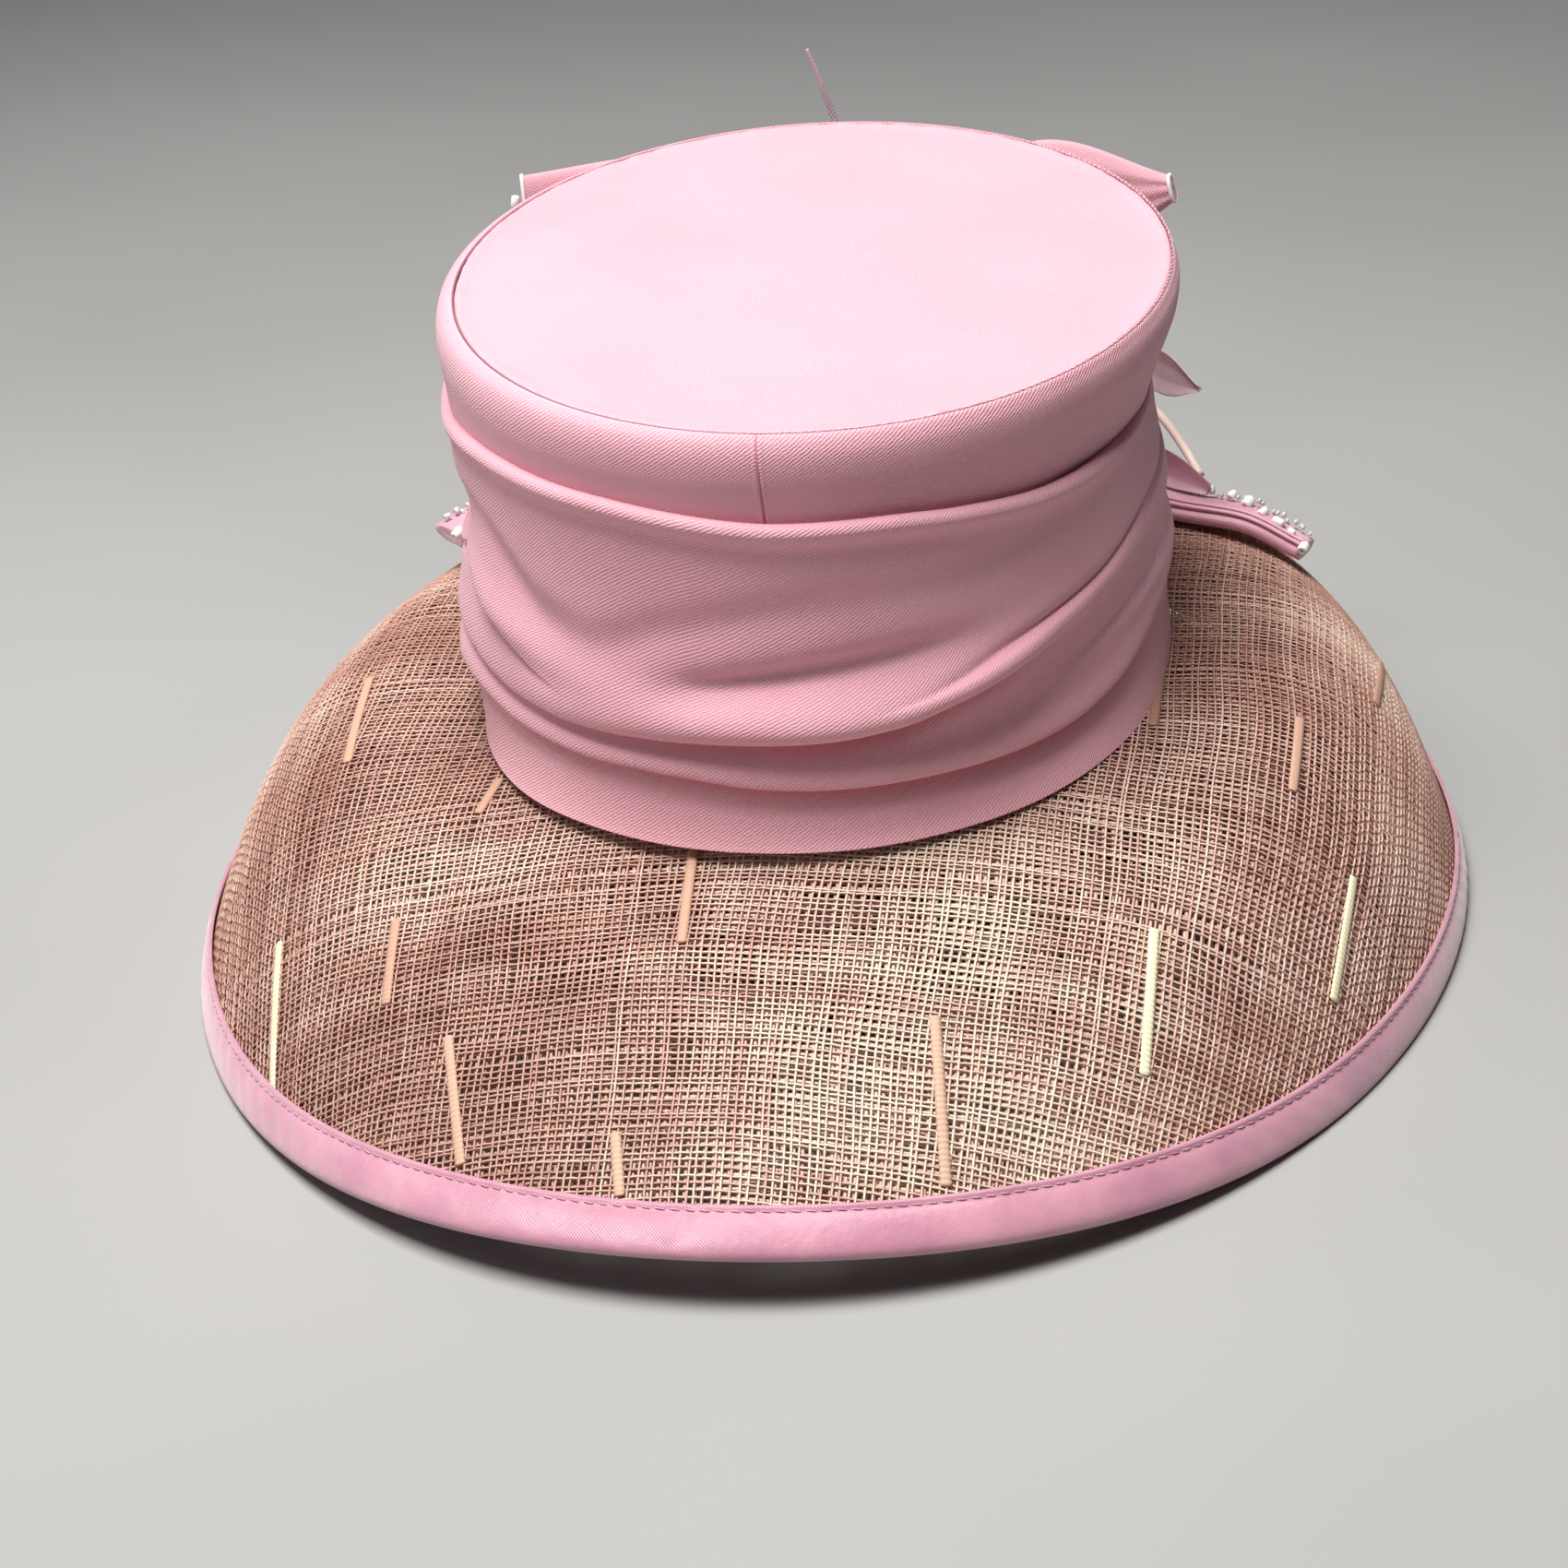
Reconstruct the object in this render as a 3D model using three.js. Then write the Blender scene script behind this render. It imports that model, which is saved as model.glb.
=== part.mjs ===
// A dusty pink occasion hat: an oval crown with a flat tip, a pleated swathe round it, a turned-down
// straw brim with a satin binding, and a bow with a quill and small trimmings at the front.
// Millimetres and degrees. +Z is up, the front faces +Y, the wearer's right is +X.
// The rim's sides rest on z = 0, below the middle of the rim's outline.
import * as THREE from 'three';
import { LoftGeometry } from 'three/addons/geometries/LoftGeometry.js';

// Driving dimensions
const STEPS_ROUND = 56;
const GAP = 0.3;
const CLOTH_WALL = 2;
const STRAW_WALL = 1.6;

// The crown's ovals at the head opening and at the tip seam, with the tilt of each towards the back
// and its roll to the side
const OPENING = { halfWidth: 88, halfLength: 102.4, height: 66.3, shiftY: 0, tilt: 4.37, roll: -1.27 };
const TIP = { halfWidth: 92, halfLength: 105.8, height: 172.4, shiftY: 2, tilt: 4.92, roll: 1.59 };
const TIP_LEAN = 2.8;
const SEAM_INSET = 1.5;
// The tip's slight dome: how far each ring lies in from the seam, as a part of the half width, and its rise
const TIP_DOME = 1;
const TIP_RINGS = [
  { inward: 0, rise: 0 },
  { inward: 0.5, rise: 0.75 },
  { inward: 0.9, rise: 1 },
];

// The crown side's outer face: level is 0 at the head opening and 1 at the tip seam. It is drawn in
// under the swathe, and swells to the rolled shoulder above it
const UNDER_SWATHE = -2.6;
const ABOVE_SWATHE = [
  { rise: 0.012, out: UNDER_SWATHE },
  { rise: 0.045, out: -0.9 },
];
const SHOULDER = [
  { level: 0.91, out: 0.2 },
  { level: 0.96, out: 0.8 },
  { level: 0.987, out: 0 },
];

// Levels of the swathe's fold lines at the four sides of the crown
const FOLDS = {
  low: { right: 0.20, front: 0.20, left: 0.25, back: 0.185 },
  high: { right: 0.44, front: 0.35, left: 0.33, back: 0.29 },
  top: { right: 0.70, front: 0.76, left: 0.79, back: 0.81 },
};
// Each pleat hangs from one fold line over the next: how far its lip, belly and tucked top stand out
const PLEATS = [
  { from: 'hem', to: 'low', lip: -0.2, belly: 1.3, tuck: 0.8 },
  { from: 'low', to: 'high', lip: 3.8, belly: 3.0, tuck: 2.2 },
  { from: 'high', to: 'top', lip: 4.2, belly: -0.3, tuck: 1.6 },
];
const LIP_UNDERCUT = 1.2;
const PLEAT_PARTS = { under: 0, lip: 0.1, belly: 0.5, tuck: 0.93 };

// The brim: an oval rim, lifted off the surface at the back and the front
const RIM = { halfWidth: 167.7, halfLength: 201, widestForward: 3.2, edgeHeight: 1.5 };
const RIM_LIFT = 12;
const RIM_LIFT_ARC = 60;
// It drops late and steeply at the sides and the front, and more evenly at the back
const BRIM_DROP_POWER = 4;
const BACK_DROP_EVENNESS = 0.7;
const BRIM_REACHES = [0, 0.2, 0.4, 0.58, 0.72, 0.84, 0.92, 0.965, 1];

// The binding's outline in the rim's section: run is the distance past the straw's edge
const BINDING_WIDTH = 10;
const BINDING_WALL = 1;
const BINDING_FOLD = 1.9;
const BINDING_NOSE = 1;

// The front bow: its knot, then the strips that leave it
const KNOT = { width: 24, height: 44, depth: 10, middle: 122, corner: 7, edge: 1.5 };
const STRIPS = [
  {
    name: 'bow_loop_left', cloth: 'crepe', upright: true, thickness: [4, 5, 7, 5],
    path: [[-13, 115, 134], [-22, 117, 135], [-56, 116, 150], [-97, 107, 149]], width: [14, 22, 42, 38],
  },
  {
    name: 'bow_loop_right', cloth: 'crepe', upright: true, thickness: [4, 5, 7, 5],
    path: [[13, 115, 134], [22, 117, 135], [52, 116, 153], [89, 108, 142]], width: [14, 22, 44, 34],
  },
  {
    name: 'bow_tail_left', cloth: 'crepe', upright: false, thickness: [4, 5, 5.5, 5],
    path: [[-12.8, 114, 107], [-58, 113, 87], [-96, 82, 80], [-116, 62, 75]], width: [6, 22, 24, 20],
  },
  {
    name: 'bow_tail_right', cloth: 'crepe', upright: false, thickness: [4, 5, 5.5, 5.5, 5],
    path: [[12.8, 114, 107], [56, 115, 84], [90, 86, 76.5], [110, 79, 75], [127, 72, 68]],
    width: [6, 22, 22, 20, 15],
  },
  {
    name: 'petal', cloth: 'feather', upright: true, thickness: [1.2, 1.2, 1.2, 1],
    path: [[12.4, 115, 122], [60, 114, 119], [86, 90, 115.5], [97, 73, 114]], width: [4, 10, 11, 1.5],
  },
  {
    name: 'leaf', cloth: 'crepe', upright: true, thickness: [2, 2.2, 2.2, 2],
    path: [[12.7, 115, 113], [58, 112, 98], [86, 89, 86.5], [99, 84, 81]], width: [3, 11, 11, 4],
  },
  {
    name: 'stem', cloth: 'rouleau', upright: true, thickness: [2, 2, 2, 2, 2],
    path: [[12.4, 115.5, 117.3], [58, 119, 110], [83, 108, 94], [89, 103, 85], [95, 96, 79.5]],
    width: [2, 2, 2, 2, 2],
  },
  {
    name: 'quill', cloth: 'feather', upright: false, thickness: [2.4, 2.4, 2.2, 1.7, 0.6],
    path: [[-3, 117, 144.6], [-5, 118.5, 160], [-7.5, 118.5, 178], [-10.5, 118.2, 189], [-14, 118, 199.5]],
    width: [2.4, 2.4, 2.2, 1.7, 0.6],
  },
];
const STRIP_SIDES = 10;
const STRIP_STEPS = 10;
const STRIP_SQUARENESS = 0.8;

const FINISHES = {
  crepe: { color: 0xe3b4c4, roughness: 0.8, metalness: 0 },
  straw: { color: 0xb38d7f, roughness: 0.7, metalness: 0 },
  satin: { color: 0xdea3bd, roughness: 0.35, metalness: 0 },
  feather: { color: 0xb99aa3, roughness: 0.6, metalness: 0 },
  rouleau: { color: 0xead9cb, roughness: 0.5, metalness: 0 },
};

const mix = THREE.MathUtils.lerp;
const radians = THREE.MathUtils.degToRad;

// Points on the hat's surfaces

// A point on the crown, out millimetres outside the oval of that level
function crownPoint(angle, level, out) {
  const along = (key) => mix(OPENING[key], TIP[key], level);
  const point = new THREE.Vector3(
    (along('halfWidth') + out) * Math.cos(angle),
    (along('halfLength') + out) * Math.sin(angle),
    0,
  );
  point.applyEuler(new THREE.Euler(radians(along('tilt')), radians(along('roll')), 0));
  const lean = TIP_LEAN * level ** 3;
  return point.add(new THREE.Vector3(lean, along('shiftY'), along('height')));
}

// How far the rim stands off the surface: two smooth rises, at the back and at the front
function rimLift(angle) {
  const fromSide = Math.abs(Math.sin(angle));
  const fromMiddle = 90 - THREE.MathUtils.radToDeg(Math.asin(fromSide));
  if (fromMiddle >= RIM_LIFT_ARC) {
    return 0;
  }
  return RIM_LIFT * (0.5 + 0.5 * Math.cos(Math.PI * fromMiddle / RIM_LIFT_ARC));
}

function rimPoint(angle) {
  return new THREE.Vector3(
    RIM.halfWidth * Math.cos(angle),
    RIM.halfLength * Math.sin(angle) + RIM.widestForward * Math.cos(angle) ** 2,
    RIM.edgeHeight + rimLift(angle),
  );
}

function brimDrop(angle, reach) {
  const backness = Math.max(-Math.sin(angle), 0) ** 2;
  const even = mix(reach ** 2, reach, BACK_DROP_EVENNESS);
  return mix(reach ** BRIM_DROP_POWER, even, backness);
}

// The middle of the straw: reach is 0 at the crown and 1 at the rim
function brimMiddle(angle, reach) {
  const inner = crownPoint(angle, 0, 0);
  const outer = rimPoint(angle);
  const point = new THREE.Vector3().lerpVectors(inner, outer, reach);
  point.z = mix(inner.z, outer.z, brimDrop(angle, reach));
  return point;
}

function brimSlant(angle, reach) {
  const step = 0.001;
  return brimMiddle(angle, reach + step).sub(brimMiddle(angle, reach - step)).divideScalar(2 * step);
}

function brimPoint(angle, reach, offset) {
  const step = 0.001;
  const round = brimMiddle(angle + step, reach).sub(brimMiddle(angle - step, reach));
  const normal = brimSlant(angle, reach).cross(round).normalize();
  return brimMiddle(angle, reach).addScaledVector(normal, offset);
}

// A fold line's level at an angle, smooth through its levels at the four sides
function foldLevel(fold, angle) {
  const { right, front, left, back } = FOLDS[fold];
  const mean = (right + front + left + back) / 4;
  const sideways = (right - left) / 2 * Math.cos(angle);
  const lengthways = (front - back) / 2 * Math.sin(angle);
  const crosswise = (right + left - front - back) / 4 * Math.cos(2 * angle);
  return mean + sideways + lengthways + crosswise;
}

// Solids

// A wall all the way round the hat: section(angle) lists its closed outline, outer face upwards first
function ringWall(section) {
  const sections = [];
  for (let step = 0; step <= STEPS_ROUND; step += 1) {
    const angle = 2 * Math.PI * (step % STEPS_ROUND) / STEPS_ROUND;
    sections.push(section(angle).reverse());
  }
  return new LoftGeometry(sections);
}

const CROWN_HEIGHT = TIP.height - OPENING.height;
const HEM_LEVEL = (STRAW_WALL / 2 + GAP) / CROWN_HEIGHT;
const LIP_LEVEL = 1 - CLOTH_WALL / CROWN_HEIGHT;

function crownSide() {
  return ringWall((angle) => {
    const top = foldLevel('top', angle);
    const rows = [
      { level: HEM_LEVEL, out: UNDER_SWATHE },
      { level: top / 2, out: UNDER_SWATHE },
      ...ABOVE_SWATHE.map(({ rise, out }) => ({ level: top + rise, out })),
      ...SHOULDER,
    ];
    const outer = rows.map(({ level, out }) => crownPoint(angle, level, out));
    const lip = [crownPoint(angle, 1, -SEAM_INSET), crownPoint(angle, LIP_LEVEL, -SEAM_INSET)];
    const inner = rows.slice(0, -1).reverse();
    return [...outer, ...lip, ...inner.map(({ level, out }) => crownPoint(angle, level, out - CLOTH_WALL))];
  });
}

function crownTip() {
  const edge = -SEAM_INSET - GAP;
  const dome = TIP_RINGS.map(({ inward, rise }) => ({
    level: 1 + rise * TIP_DOME / CROWN_HEIGHT,
    out: edge - inward * TIP.halfWidth,
  }));
  const rings = [{ level: LIP_LEVEL, out: edge }, ...dome];
  const sections = rings.map(({ level, out }) => {
    const ring = [];
    for (let step = 0; step < STEPS_ROUND; step += 1) {
      ring.push(crownPoint(2 * Math.PI * step / STEPS_ROUND, level, out));
    }
    return ring;
  });
  return new LoftGeometry(sections, { capStart: true, capEnd: true });
}

function drape() {
  const inside = UNDER_SWATHE + GAP;
  return ringWall((angle) => {
    const levels = { hem: HEM_LEVEL };
    for (const fold of Object.keys(FOLDS)) {
      levels[fold] = foldLevel(fold, angle);
    }
    const outer = PLEATS.flatMap(({ from, to, lip, belly, tuck }) => {
      const stands = { under: lip - LIP_UNDERCUT, lip, belly, tuck };
      return Object.entries(PLEAT_PARTS).map(
        ([row, part]) => crownPoint(angle, mix(levels[from], levels[to], part), stands[row]),
      );
    });
    const inner = [levels.top, levels.high, HEM_LEVEL].map((level) => crownPoint(angle, level, inside));
    return [...outer, ...inner];
  });
}

// The straw runs in under the crown's wall, and ends flush with its inner face
function brim() {
  return ringWall((angle) => {
    const face = (half) => [
      crownPoint(angle, half / CROWN_HEIGHT, UNDER_SWATHE - CLOTH_WALL),
      ...BRIM_REACHES.map((reach) => brimPoint(angle, reach, half)),
    ];
    return [...face(STRAW_WALL / 2).reverse(), ...face(-STRAW_WALL / 2)];
  });
}

// The binding is folded round the straw's edge, and lies flat where it meets the surface
function brimBinding() {
  const near = STRAW_WALL / 2 + GAP;
  const far = near + BINDING_WALL;
  const outline = [
    { run: BINDING_FOLD, out: BINDING_NOSE },
    { run: 0, out: far },
    { run: -BINDING_WIDTH / 2, out: far },
    { run: -BINDING_WIDTH, out: far },
    { run: -BINDING_WIDTH, out: near },
    { run: -BINDING_WIDTH / 2, out: near },
    { run: GAP, out: near },
    { run: GAP, out: -near },
    { run: -BINDING_WIDTH / 2, out: -near },
    { run: -BINDING_WIDTH, out: -near },
    { run: -BINDING_WIDTH, out: -far },
    { run: -BINDING_WIDTH / 2, out: -far },
    { run: 0, out: -far },
    { run: BINDING_FOLD, out: -BINDING_NOSE },
  ];
  return ringWall((angle) => {
    const slant = brimSlant(angle, 1).length();
    return outline.map(({ run, out }) => {
      const point = brimPoint(angle, 1 + run / slant, out);
      point.z = Math.max(point.z, 0);
      return point;
    });
  });
}

function bowKnot() {
  const { width, height, depth, corner, edge } = KNOT;
  const half = new THREE.Vector2(width / 2 - edge, height / 2 - edge);
  const round = corner - edge;
  const outline = new THREE.Shape();
  outline.moveTo(half.x, -half.y + round);
  outline.absarc(half.x - round, half.y - round, round, 0, Math.PI / 2);
  outline.absarc(-half.x + round, half.y - round, round, Math.PI / 2, Math.PI);
  outline.absarc(-half.x + round, -half.y + round, round, Math.PI, 1.5 * Math.PI);
  outline.absarc(half.x - round, -half.y + round, round, 1.5 * Math.PI, 2 * Math.PI);
  const knot = new THREE.ExtrudeGeometry(outline, {
    depth: depth - 2 * edge, bevelSize: edge, bevelThickness: edge, bevelSegments: 2, curveSegments: 4,
  });
  return knot.rotateX(Math.PI / 2);
}

// The knot's back lies against the highest pleat in front of the crown
function knotPosition() {
  const lipLevel = mix(FOLDS.high.front, FOLDS.top.front, PLEAT_PARTS.lip);
  const swathe = crownPoint(Math.PI / 2, lipLevel, PLEATS[2].lip);
  return new THREE.Vector3(0, swathe.y + GAP + KNOT.depth - KNOT.edge, KNOT.middle);
}

// A value along a short list, read at part 0 to 1 of its length
function readAlong(list, part) {
  const place = part * (list.length - 1);
  const index = Math.min(Math.floor(place), list.length - 2);
  return mix(list[index], list[index + 1], place - index);
}

// A flattened strip along a curve; an upright one stands on edge, any other lies flat
function strip({ path, width, thickness, upright }) {
  const curve = new THREE.CatmullRomCurve3(path.map((point) => new THREE.Vector3(...point)));
  const up = new THREE.Vector3(0, 0, 1);
  const sections = [];
  for (let step = 0; step <= STRIP_STEPS; step += 1) {
    const part = step / STRIP_STEPS;
    const centre = curve.getPoint(part);
    const tangent = curve.getTangent(part);
    const level = new THREE.Vector3().crossVectors(up, tangent).normalize();
    const standing = new THREE.Vector3().crossVectors(tangent, level);
    const across = upright ? standing : level;
    const through = new THREE.Vector3().crossVectors(tangent, across);
    const section = [];
    for (let side = 0; side < STRIP_SIDES; side += 1) {
      const turn = 2 * Math.PI * side / STRIP_SIDES;
      const swell = (value) => Math.sign(value) * Math.abs(value) ** STRIP_SQUARENESS / 2;
      const point = centre.clone();
      point.addScaledVector(across, readAlong(width, part) * swell(Math.cos(turn)));
      point.addScaledVector(through, readAlong(thickness, part) * swell(Math.sin(turn)));
      section.push(point);
    }
    sections.push(section);
  }
  return new LoftGeometry(sections, { capStart: true, capEnd: true });
}

// The assembly

function piece(name, geometry, finish) {
  const mesh = new THREE.Mesh(geometry, new THREE.MeshStandardMaterial(FINISHES[finish]));
  mesh.name = name;
  return mesh;
}

const hat = new THREE.Group();
hat.add(piece('crown_tip', crownTip(), 'crepe'));
hat.add(piece('crown_side', crownSide(), 'crepe'));
hat.add(piece('drape', drape(), 'crepe'));
hat.add(piece('brim', brim(), 'straw'));
hat.add(piece('brim_binding', brimBinding(), 'satin'));

const knot = piece('bow_knot', bowKnot(), 'crepe');
knot.position.copy(knotPosition());
hat.add(knot);

for (const row of STRIPS) {
  hat.add(piece(row.name, strip(row), row.cloth));
}

export default hat;
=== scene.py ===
"""The looks of a dusty pink occasion hat: crepe crown with a pleated swathe, open-weave straw brim, satin
binding, and a front bow with beads. Sizes are in millimetres and become metres when a mesh is made."""

import math

import bmesh
import bpy
import numpy as np
from mathutils import Matrix, Vector


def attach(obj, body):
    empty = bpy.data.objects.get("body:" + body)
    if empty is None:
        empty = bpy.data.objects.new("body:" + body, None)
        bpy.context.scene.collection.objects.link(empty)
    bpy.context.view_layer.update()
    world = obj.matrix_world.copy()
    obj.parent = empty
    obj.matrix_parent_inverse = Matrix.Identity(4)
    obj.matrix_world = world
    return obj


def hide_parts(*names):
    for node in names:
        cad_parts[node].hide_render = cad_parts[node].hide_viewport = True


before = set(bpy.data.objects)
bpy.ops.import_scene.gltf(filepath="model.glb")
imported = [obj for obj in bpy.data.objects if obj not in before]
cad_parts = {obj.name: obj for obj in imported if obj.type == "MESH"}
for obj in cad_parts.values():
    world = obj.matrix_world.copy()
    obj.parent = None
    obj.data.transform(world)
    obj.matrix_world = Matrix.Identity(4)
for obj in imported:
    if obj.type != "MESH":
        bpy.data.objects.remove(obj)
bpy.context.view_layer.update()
chance = np.random.default_rng(7)

METRES = 0.001
# Step in angle or reach for slopes
SMALL = 0.001

# The crown's ovals at the head opening and at the tip seam, as in the construction
OPENING = {"half_width": 88, "half_length": 102.4, "height": 66.3, "shift": 0, "tilt": 4.37, "roll": -1.27}
TIP = {"half_width": 92, "half_length": 105.8, "height": 172.4, "shift": 2, "tilt": 4.92, "roll": 1.59}
TIP_LEAN = 2.8
TIP_DOME = 1
TIP_THICKNESS = 2
CROWN_HEIGHT = TIP["height"] - OPENING["height"]
CROWN_RADIUS = (TIP["half_width"] + TIP["half_length"]) / 2
CROWN_STEPS = 480
FULL_TURN = 2 * math.pi
UP = (0, 0, 1.0)

# The brim: an oval rim, lifted at the back and the front
RIM = {"half_width": 167.7, "half_length": 201, "widest_forward": 3.2, "edge_height": 1.5}
RIM_LIFT = 12
RIM_LIFT_ARC = 60
BRIM_DROP_POWER = 4
BACK_DROP_EVENNESS = 0.7

# The swathe round the crown. Levels are 0 at the head opening and 1 at the tip seam. Each line is read
# smoothly between its places, at angles in degrees round the crown
# Columns: angle, level, roll, groove
TOP_EDGE = [
    (0, 0.69, -0.4, -4.4), (40, 0.71, 0.6, -3.4), (90, 0.74, 1.6, -2.4), (140, 0.75, 1.6, -1.6),
    (180, 0.755, 1.6, -1), (196, 0.76, 1.6, -0.8), (205, 0.776, 1.9, -0.7), (214, 0.797, 2.2, -0.7),
    (222, 0.808, 2.4, -0.8), (232, 0.813, 2.6, -0.9), (246, 0.814, 2.6, -1), (261, 0.803, 2.6, -1.3),
    (275, 0.788, 2.6, -1.7), (291, 0.782, 2.4, -2), (302, 0.764, 2.2, -2.1), (318, 0.733, 1.8, -2.4),
    (330, 0.724, 1.2, -2.8), (345, 0.712, 0.2, -3.8),
]
# Folds: out is how far the cloth on the full side of the line stands out, and under how far the other side is
# drawn in. Columns: angle, level, out, under
LOW_FOLD = [
    (0, 0.245, 0.8, 0.8), (40, 0.25, 1.2, 1), (90, 0.24, 2, 1.4), (140, 0.2, 2, 1.4), (180, 0.15, 1.8, 1.8),
    (196, 0.16, 1.8, 2), (206, 0.185, 1.9, 2.1), (216, 0.195, 2, 2.2), (226, 0.192, 2, 2.2),
    (240, 0.192, 2.2, 2.3), (252, 0.2, 2.6, 2.5), (260, 0.196, 2.9, 2.7), (270, 0.179, 3.2, 2.9),
    (285, 0.162, 3.4, 3.1), (300, 0.148, 3.3, 3.1), (315, 0.134, 2.9, 2.8), (322, 0.131, 2.6, 2.5),
    (332, 0.142, 2, 2), (345, 0.185, 1.3, 1.3),
]
HIGH_FOLD = [
    (0, 0.45, 0, 0), (40, 0.43, 0.8, 0.4), (90, 0.4, 2.4, 1.2), (140, 0.33, 2, 1), (180, 0.26, 1.4, 1),
    (196, 0.264, 1.4, 1.1), (204, 0.278, 1.6, 1.2), (212, 0.278, 1.8, 1.3), (220, 0.274, 2, 1.4),
    (228, 0.27, 2.2, 1.6), (236, 0.27, 2.8, 2), (245, 0.276, 3.6, 2.4), (255, 0.286, 4.6, 2.8),
    (270, 0.291, 5.8, 3.8), (283, 0.291, 6.4, 5.2), (292, 0.3, 6.4, 6), (300, 0.324, 5.4, 5.4),
    (308, 0.345, 3.8, 3.4), (322, 0.384, 1.4, 0.8), (340, 0.43, 0.3, 0),
]
LEFT_CREASE = [
    (150, 0.35, 0, 0), (180, 0.39, 0.8, 0.9), (196, 0.43, 1.2, 1.4), (202, 0.46, 1.6, 1.8),
    (208, 0.466, 1.9, 2.1), (215, 0.44, 1.9, 2.1), (225, 0.4, 1.3, 1.4), (232, 0.362, 0.5, 0.5),
    (240, 0.34, 0, 0),
]
RIGHT_CREASE = [
    (286, 0.352, 0, 0), (295, 0.366, 0.8, 0.3), (300, 0.38, 1.5, 0.7), (305, 0.397, 2.1, 1.2),
    (310, 0.412, 2.3, 1.6), (320, 0.434, 1.7, 1.6), (330, 0.456, 1.1, 1.4), (340, 0.484, 0.9, 1.2),
    (350, 0.506, 0.9, 0.8), (363, 0.515, 0.8, 0.5), (390, 0.5, 0, 0),
]
LOW_LEFT_CREASE = [
    (190, 0.13, 0, 0), (206, 0.16, 0.3, 0.6), (216, 0.166, 0.4, 0.8), (226, 0.158, 0.3, 0.7),
    (236, 0.15, 0.1, 0.3), (246, 0.145, 0, 0),
]
LOW_RIGHT_CREASE = [
    (318, 0.27, 0, 0), (328, 0.288, 0.4, 0.2), (336, 0.306, 0.8, 0.5), (345, 0.318, 0.9, 0.6),
    (356, 0.34, 0.9, 0.6), (366, 0.35, 0.7, 0.4), (390, 0.355, 0, 0),
]
# A fold that hangs is full above its line, and others are full below it. Full and hollow are its reach on
# each side, and lead is where it is fullest, in levels. Columns: line, hangs, full, hollow, lead, softness
FOLDS = [
    (LOW_FOLD, True, 0.055, 0.02, 0.02, 0.0012),
    (HIGH_FOLD, True, 0.07, 0.03, 0.04, 0.0012),
    (LEFT_CREASE, True, 0.05, 0.018, 0.012, 0.0018),
    (LOW_LEFT_CREASE, True, 0.02, 0.02, 0.012, 0.0018),
    (RIGHT_CREASE, False, 0.05, 0.024, 0.032, 0.0018),
    (LOW_RIGHT_CREASE, False, 0.045, 0.025, 0.02, 0.0018),
]
# Mesh rows follow the left and right creases, to keep them crisp, and these places. Columns: angle, level
ROW_PLACES = [(90, 0.48), (150, 0.42), (180, 0.4), (232, 0.368), (246, 0.356), (270, 0.352), (286, 0.354)]
ROW_LINE = ROW_PLACES + [row[:2] for row in LEFT_CREASE[2:7] + RIGHT_CREASE[1:]]
# Soft ridges and dents of the swathe: depth is below zero for a dent. Columns: angle, level, depth
SOFT_DENTS = [
    {"width": 0.045, "line": [
        (186, 0.4, 0), (196, 0.43, 0.4), (205, 0.48, 1), (212, 0.49, 1.6), (221, 0.465, 2.2),
        (228, 0.435, 2.2), (235, 0.405, 1.6), (244, 0.39, 1), (256, 0.39, 0.4), (266, 0.39, 0),
    ]},
    {"width": 0.05, "line": [
        (190, 0.54, 0), (200, 0.57, -0.4), (206, 0.6, -1.2), (213, 0.615, -2.2), (221, 0.59, -3),
        (228, 0.54, -3.4), (235, 0.495, -2.8), (244, 0.48, -1.4), (258, 0.54, -1.4), (275, 0.595, -1.8),
        (290, 0.615, -1.4), (305, 0.625, -1), (325, 0.65, 0),
    ]},
    {"width": 0.036, "line": [
        (252, 0.398, 0), (258, 0.404, -1), (264, 0.414, -3), (272, 0.43, -3.5), (282, 0.446, -3),
        (292, 0.458, -2.2), (302, 0.464, -1.1), (312, 0.466, 0),
    ]},
]
# How far the cloth stands out between the folds, at the back and at each side: rows of level and distance
BACK_STAND = [
    (0, 6.2), (0.02, 5), (0.05, 3.3), (0.1, 1.5), (0.15, 0.4), (0.3, 0.2), (0.5, 0.4), (0.7, 0), (0.85, -0.2),
]
RIGHT_STAND = [
    (0, 4.2), (0.05, 3.6), (0.1, 2.9), (0.18, 2.6), (0.23, 2.9), (0.3, 2.6), (0.34, 1.9), (0.38, 1.5),
    (0.45, 1), (0.485, 0.2), (0.545, -0.9), (0.6, -2.2), (0.7, -3.4),
]
LEFT_STAND = [
    (0, 0.4), (0.03, 0), (0.08, 0.4), (0.13, 1.2), (0.175, 2.6), (0.24, 2.7), (0.285, 2), (0.335, 1),
    (0.37, 0.5), (0.395, 0.2), (0.43, -1), (0.455, -3), (0.48, -4), (0.5, -4), (0.55, -3), (0.605, -1.8),
    (0.65, -0.6), (0.7, 0), (0.8, 0),
]
# Columns: stand, angle of its middle, degrees that it spreads over
SIDE_STANDS = [(RIGHT_STAND, 3, 26), (LEFT_STAND, 194, 22)]
HEM_LEVEL = 0.002
HEM_RISE = 0.034
HEM_RISE_ANGLE = 250
BACK_SEAM_ANGLE = 273
BACK_SEAM_SLANT = 6
TOP_ROLL_RADIUS = 2.1
HEM_ROLL_RADIUS = 0.8
HEM_ROLL_LEVELS = 0.004
# Mesh rows from the hem over the two folds and the row line to the top edge
SWATHE_ROWS = (30, 34, 32, 48)
# Distances from the crown's oval to the swathe's tucked edges, the wall under it and the inside
TUCKED_OUT = -5.0
WALL_OUT = -5.2
INSIDE_OUT = -6.4
SEAM_INSET = 2.6
SEAM_INSET_LEAN = 1.2

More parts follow.
